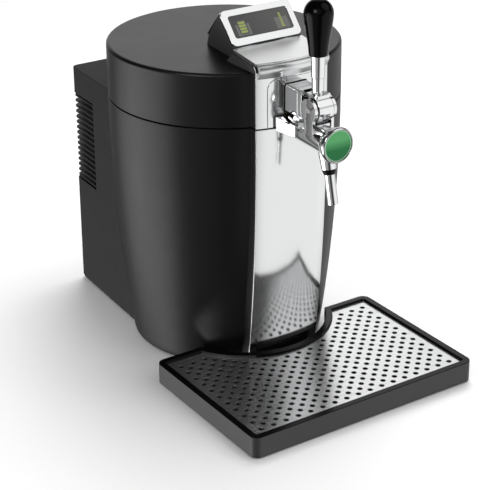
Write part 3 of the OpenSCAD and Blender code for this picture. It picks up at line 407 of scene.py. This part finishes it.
def stand_in(node, shape):
    """The piece that shows in the node's place, with its curves shaded as curves."""
    name = node + "_finished"
    mesh = bpy.data.meshes.new(name)
    shape.to_mesh(mesh)
    shape.free()
    if "custom_normal" in mesh.attributes:
        mesh.attributes.remove(mesh.attributes["custom_normal"])
    mesh.shade_smooth()
    mesh.set_sharp_from_angle(angle=SMOOTH_ANGLE)
    piece = add_piece(name, mesh, BODY_OF[node], finish_of(node))
    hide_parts(node)
    return piece


def finished(node, edge):
    """The node's piece with its edges rounded."""
    shape = joined(node)
    if edge:
        sharp = [e for e in shape.edges if len(e.link_faces) == 2 and e.calc_face_angle(0) > SHARP_ANGLE]
        bmesh.ops.bevel(shape, geom=sharp, offset=edge * MM, offset_type="OFFSET", segments=2, profile=0.5,
                        affect="EDGES", clamp_overlap=node not in LOOSE, loop_slide=True)
    weighted = stand_in(node, shape).modifiers.new("weighted", "WEIGHTED_NORMAL")
    weighted.keep_sharp = True


for node_name, edge_size in EDGES.items():
    finished(node_name, edge_size)


def gloss_tray():
    """The tray's rim and basin are gloss black, its outside is plain."""
    mesh = bpy.data.objects["drip_tray_finished"].data
    mesh.materials.append(MATERIALS["tray_gloss"].material)
    low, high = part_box("drip_tray")
    for face in mesh.polygons:
        outward = abs(face.normal.x) > 0.9 or abs(face.normal.y) > 0.9
        outside = min(face.center.x - low.x, high.x - face.center.x, face.center.y - low.y) < 2 * MM
        if face.normal.z > 0.3 or (outward and not outside):
            face.material_index = 1


gloss_tray()

# How much wider each hole of the drip plate is at its rolled edge, in millimetres of radius
HOLE_ROLL = 0.55
# Walls that reach further than this aren't a hole's, but the plate's own edge
HOLE_MOST = 12.0


def walls_of(shape):
    """The points of each run of upright faces, one set for each hole or edge."""
    waiting = {face for face in shape.faces if abs(face.normal.z) < 0.5}
    while waiting:
        points, reached = set(), [waiting.pop()]
        while reached:
            face = reached.pop()
            points.update(face.verts)
            beside = {other for edge in face.edges for other in edge.link_faces} & waiting
            waiting -= beside
            reached.extend(beside)
        yield points


def roll_holes():
    """The drip plate with its punched holes opened to their rolled edges."""
    shape = joined("drip_grille")
    for points in walls_of(shape):
        xs, ys = [vert.co.x for vert in points], [vert.co.y for vert in points]
        if max(max(xs) - min(xs), max(ys) - min(ys)) > HOLE_MOST * MM:
            continue
        middle = Vector(((max(xs) + min(xs)) / 2, (max(ys) + min(ys)) / 2, 0))
        for vert in points:
            out = Vector((vert.co.x, vert.co.y, 0)) - middle
            vert.co += out.normalized() * HOLE_ROLL * MM
    stand_in("drip_grille", shape)


roll_holes()

# ---------------------------------------------------------------- the display's segments
bezel_low, bezel_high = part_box("display_bezel")
BEZEL_TILT = math.atan2(bezel_high.z - bezel_low.z, bezel_high.y - bezel_low.y)
# The window is a plate of this thickness, in millimetres, that lies on the bezel's slope
WINDOW_T = 2.0
WINDOW_MIDDLE = centre_of("display_window")
# How deep a segment's or a mark's piece is let into what it lies on
SUNK = 0.3
ALONG = Vector((0, math.cos(BEZEL_TILT), math.sin(BEZEL_TILT)))
OUT = Vector((0, -math.sin(BEZEL_TILT), math.cos(BEZEL_TILT)))


def on_display(x, up, lift):
    """A point on the window's face: x across, up along the slope and lift off it, from its middle, in mm."""
    return WINDOW_MIDDLE + Vector((x * MM, 0, 0)) + ALONG * up * MM + OUT * (WINDOW_T / 2 + lift) * MM


def wall(shape, first, second):
    """The faces between two loops of as many points."""
    for i in range(len(first)):
        j = (i + 1) % len(first)
        shape.faces.new((first[i], first[j], second[j], second[i]))


def add_mark(name, shape, node, finish):
    """A small closed piece that lies on a node."""
    bmesh.ops.recalc_face_normals(shape, faces=shape.faces)
    mesh = bpy.data.meshes.new(name)
    shape.to_mesh(mesh)
    shape.free()
    add_piece(name, mesh, BODY_OF[node], finish)


def add_tile(name, x0, up0, x1, up1, thick, finish, corner):
    """A thin plate on the display's face with rounded corners."""
    shape = bmesh.new()
    outline = []
    for cx, cy, start in ((x1 - corner, up1 - corner, 0), (x0 + corner, up1 - corner, 90),
                          (x0 + corner, up0 + corner, 180), (x1 - corner, up0 + corner, 270)):
        for step in range(5):
            turn = math.radians(start + 22.5 * step)
            outline.append((cx + corner * math.cos(turn), cy + corner * math.sin(turn)))
    low = [shape.verts.new(on_display(x, up, -SUNK)) for x, up in outline]
    high = [shape.verts.new(on_display(x, up, thick)) for x, up in outline]
    shape.faces.new(high)
    shape.faces.new(low[::-1])
    wall(shape, low, high)
    add_mark(name, shape, "display_window", finish)


def make_display():
    """Two liquid-crystal fields: a keg with its level in bars, and a slim thermometer to its right."""
    level, heat = -24.5, 27.0
    field_low, field_high = -11.5, 12.0
    add_tile("level_field", level - 9, field_low, level + 9, field_high, 0.02, "lcd_pale", 1.2)
    add_tile("heat_field", heat - 8.5, field_low, heat + 8.5, field_high, 0.02, "lcd_pale", 1.2)
    add_tile("keg_outline", level - 5.6, -9.8, level + 5.6, 7.0, 0.04, "lcd_dark", 1.6)
    add_tile("keg_face", level - 5.0, -9.2, level + 5.0, 6.4, 0.06, "lcd_pale", 1.3)
    for i in range(4):
        up = -8.5 + 3.7 * i
        add_tile(f"level_bar_{i + 1}", level - 4.3, up, level + 4.3, up + 2.6, 0.09, "segment_glow", 0.8)
    for i in range(3):
        x = level - 4.0 + 3.2 * i
        add_tile(f"keg_top_{i + 1}", x, 7.6, x + 1.9, 9.4, 0.05, "lcd_dark", 0.4)
    for i in range(7):
        up = -9.5 + 2.5 * i
        half = 2.1 if i == 0 else 1.5
        add_tile(f"heat_bar_{i + 1}", heat - half, up, heat + half, up + 1.9, 0.07, "segment_glow", 0.5)
    add_tile("heat_mark", heat - 0.6, 9.0, heat + 0.6, 10.4, 0.05, "lcd_dark", 0.3)


# The rocker's marks, in millimetres, and the bar's ends as shares of the raised half's height
ROCKER_DEPTH = 5.0
MARK_SUNK = 0.2
MARK_PROUD = 0.05
BAR_HW = 0.7
BAR_ENDS = (0.30, 0.78)
RING_R = (1.9, 2.7)
RING_POINTS = 32


def make_switch_marks():
    """The rocker's two marks: a bar on its raised half for on, a ring on the lower half for off."""
    low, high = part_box("power_rocker")
    middle = (low + high) / 2
    root_y = low.y + ROCKER_DEPTH * MM
    half_h = high.z - middle.z
    slope = (high.y - root_y) / half_h

    def on_raised_half(x, share, proud):
        up = share * half_h
        return (middle.x + x * MM, root_y + up * slope + proud * MM, middle.z + up)

    def on_ring(radius, turn, proud):
        x, z = radius * MM * math.cos(turn), radius * MM * math.sin(turn)
        return (middle.x + x, root_y + proud * MM, middle.z - half_h / 2 + z)

    bar = bmesh.new()
    first, last = BAR_ENDS
    outline = ((-BAR_HW, first), (BAR_HW, first), (BAR_HW, last), (-BAR_HW, last))
    inner, outer = (
        [bar.verts.new(on_raised_half(x, share, proud)) for x, share in outline]
        for proud in (-MARK_SUNK, MARK_PROUD)
    )
    wall(bar, inner, outer)
    bar.faces.new(inner)
    bar.faces.new(outer[::-1])
    add_mark("on_mark", bar, "power_rocker", "white_mark")

    ring = bmesh.new()
    inside, outside = RING_R
    turns = [math.tau * i / RING_POINTS for i in range(RING_POINTS)]
    section = ((inside, -MARK_SUNK), (inside, MARK_PROUD), (outside, MARK_PROUD), (outside, -MARK_SUNK))
    loops = [[ring.verts.new(on_ring(radius, turn, proud)) for turn in turns] for radius, proud in section]
    for loop, following in zip(loops, loops[1:] + loops[:1]):
        wall(ring, loop, following)
    add_mark("off_mark", ring, "power_rocker", "white_mark")


make_display()
make_switch_marks()


# ---------------------------------------------------------------- studio
def add_area(name, at, target, size, power, glossy=True):
    data = bpy.data.lights.new(name, "AREA")
    data.shape = "RECTANGLE"
    data.size = size[0]
    data.size_y = size[1]
    data.energy = power
    light = bpy.data.objects.new(name, data)
    light.location = at
    light.rotation_mode = "QUATERNION"
    light.rotation_quaternion = (Vector(target) - Vector(at)).to_track_quat("-Z", "Y")
    light.visible_camera = False
    light.visible_glossy = glossy
    bpy.context.scene.collection.objects.link(light)


FLOOR_HALF = 12.0
# The floor lies this far under the feet, so that the two don't flicker
FLOOR_GAP = 0.0002


def make_floor():
    mesh = bpy.data.meshes.new("floor")
    corners = [(x * FLOOR_HALF, y * FLOOR_HALF, 0) for x, y in ((-1, -1), (1, -1), (1, 1), (-1, 1))]
    mesh.from_pydata(corners, [], [(0, 1, 2, 3)])
    floor = bpy.data.objects.new("floor", mesh)
    bpy.context.scene.collection.objects.link(floor)
    shader = Shader("floor_white", (0.93, 0.93, 0.93), roughness=0.6, specular=0.2)
    shader.tone((0.925, 0.925, 0.925), (0.935, 0.935, 0.935), 2)
    floor.data.materials.append(shader.material)
    floor.location.z = -FLOOR_GAP
    floor.visible_glossy = False


# Soft boxes seen in the gloss: the way each lies, its half angle and edge in degrees, and its strength.
# The floor is left out of reflections, so the low ones stand for what it and its cards would send back.
SOFT_BOXES = (
    ((0.46, 0.88, 0.09), 17, 18, 0.9),
    ((0.51, -0.48, 0.72), 19, 12, 1.0),
    ((0.45, 0.60, 0.66), 11, 12, 0.8),
    ((-0.55, -0.70, 0.45), 12, 14, 0.5),
    ((0.92, 0.22, -0.30), 15, 25, 0.6),
    ((0.51, -0.77, -0.38), 25, 25, 0.96),
    ((-0.85, 0.37, -0.38), 15, 15, 2.9),
    ((-0.89, -0.27, -0.38), 10, 35, 0.34),
    ((-0.51, 0.77, -0.38), 8, 9, 1.25),
    ((-0.10, 0.95, -0.28), 18, 20, 0.12),
)
GLOSS_AMBIENT = 0.04
SKY_FILL = 0.30


def make_world():
    world = bpy.data.worlds.new("studio")
    bpy.context.scene.world = world
    world.use_nodes = True
    tree = world.node_tree
    nodes, links = tree.nodes, tree.links

    def summed(first, second):
        node = nodes.new("ShaderNodeMath")
        node.operation = "ADD"
        for value, socket in zip((first, second), node.inputs):
            if isinstance(value, float):
                socket.default_value = value
            else:
                links.new(value, socket)
        return node.outputs[0]

    way = nodes.new("ShaderNodeTexCoord").outputs["Generated"]
    rays = nodes.new("ShaderNodeLightPath").outputs
    fill = nodes.new("ShaderNodeMath")
    fill.operation = "MULTIPLY"
    fill.inputs[1].default_value = SKY_FILL
    links.new(rays["Is Diffuse Ray"], fill.inputs[0])
    total = summed(fill.outputs[0], GLOSS_AMBIENT)
    for direction, half_angle, edge, strength in SOFT_BOXES:
        dot = nodes.new("ShaderNodeVectorMath")
        dot.operation = "DOT_PRODUCT"
        dot.inputs[1].default_value = Vector(direction).normalized()
        links.new(way, dot.inputs[0])
        box = nodes.new("ShaderNodeMapRange")
        box.interpolation_type = "SMOOTHSTEP"
        box.inputs["From Min"].default_value = math.cos(math.radians(half_angle + edge))
        box.inputs["From Max"].default_value = math.cos(math.radians(half_angle))
        box.inputs["To Max"].default_value = strength
        links.new(dot.outputs["Value"], box.inputs["Value"])
        total = summed(total, box.outputs["Result"])
    studio = nodes["Background"]
    studio.inputs["Color"].default_value = (1, 1, 1, 1)
    links.new(total, studio.inputs["Strength"])
    backdrop = nodes.new("ShaderNodeBackground")
    backdrop.inputs["Color"].default_value = (1, 1, 1, 1)
    backdrop.inputs["Strength"].default_value = 1.0
    choice = nodes.new("ShaderNodeMixShader")
    links.new(rays["Is Camera Ray"], choice.inputs["Fac"])
    links.new(studio.outputs[0], choice.inputs[1])
    links.new(backdrop.outputs[0], choice.inputs[2])
    links.new(choice.outputs[0], nodes["World Output"].inputs["Surface"])


make_floor()
make_world()
add_area("key", (0.7, 0.6, 2.1), (0, 0, 0), (1.4, 1.4), 36, glossy=False)
add_area("front_fill", (-1.9, -1.0, 1.5), (0, 0, 0.1), (0.8, 0.8), 15)

bpy.context.scene.view_settings.view_transform = "Standard"
